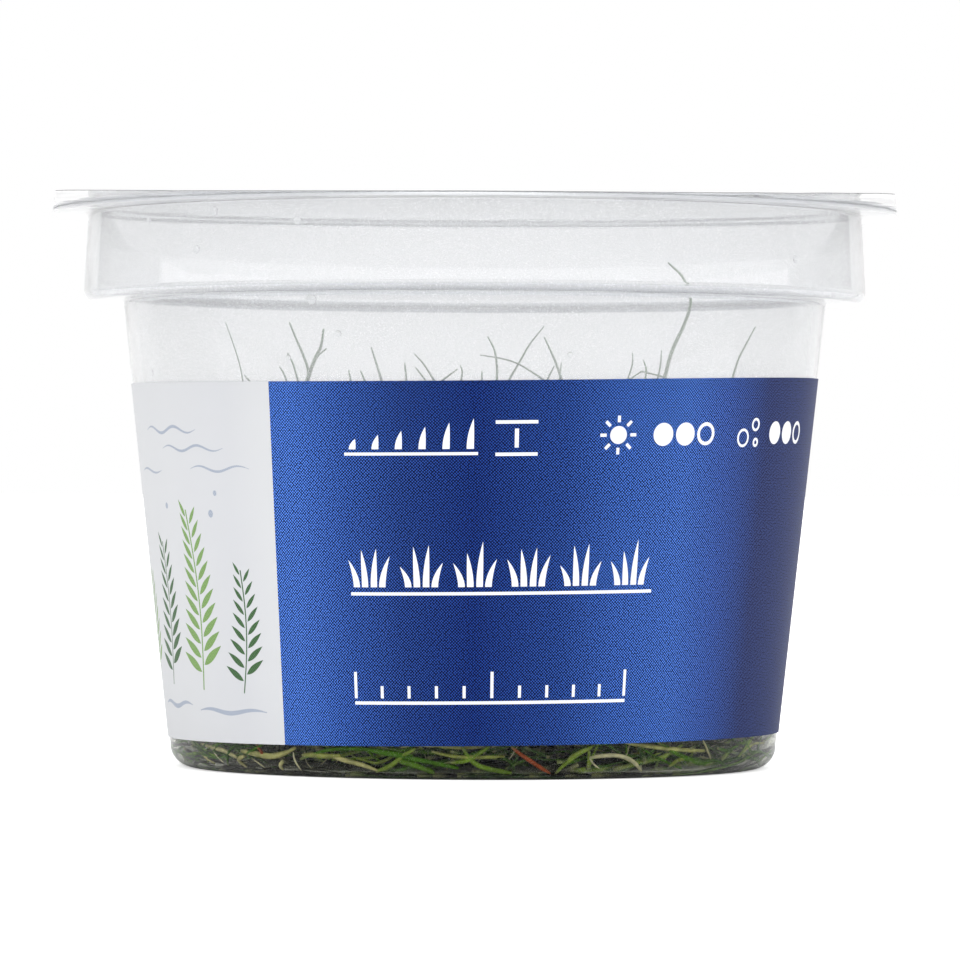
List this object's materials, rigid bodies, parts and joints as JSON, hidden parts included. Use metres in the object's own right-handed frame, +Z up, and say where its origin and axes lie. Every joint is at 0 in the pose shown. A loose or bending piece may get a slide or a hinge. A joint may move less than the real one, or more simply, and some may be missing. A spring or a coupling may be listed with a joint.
{
  "type": "dwarf hairgrass in a sealed in-vitro cup",
  "caption": "Dwarf hairgrass plantlets on a mat of runners and roots, in a round tapered translucent plastic cup with a sealed clear film and a plain blue and white wrap label.",
  "frame": {"origin": "centre of the cup's flat base", "axes": "+Z up along the cup's axis, -Y towards the front of the label, +X to its right as seen from the front"},
  "size_m": [0.0944, 0.0944, 0.0621],
  "materials": {
    "cup_plastic": "thin translucent plastic, slightly milky, glossy outside",
    "lid_film": "clear sealed film, glossy, with faint creases",
    "label_print": "satin printed film, dark blue with fine print grain, and a white panel",
    "hairgrass": "living blades, satin and moist",
    "root_fibres": "pale runners and roots with olive and brown blades"
  },
  "bodies": {
    "root": {"cup": "cup_plastic", "lid_film": "lid_film", "label": "label_print", "root_mat": "root_fibres", "hairgrass_tuft_01": "hairgrass", "hairgrass_tuft_02": "hairgrass", "hairgrass_tuft_03": "hairgrass", "hairgrass_tuft_04": "hairgrass", "hairgrass_tuft_05": "hairgrass", "hairgrass_tuft_06": "hairgrass", "hairgrass_tuft_07": "hairgrass", "hairgrass_tuft_08": "hairgrass", "hairgrass_tuft_09": "hairgrass", "hairgrass_tuft_10": "hairgrass", "hairgrass_tuft_11": "hairgrass", "hairgrass_tuft_12": "hairgrass"}
  },
  "joints": []
}
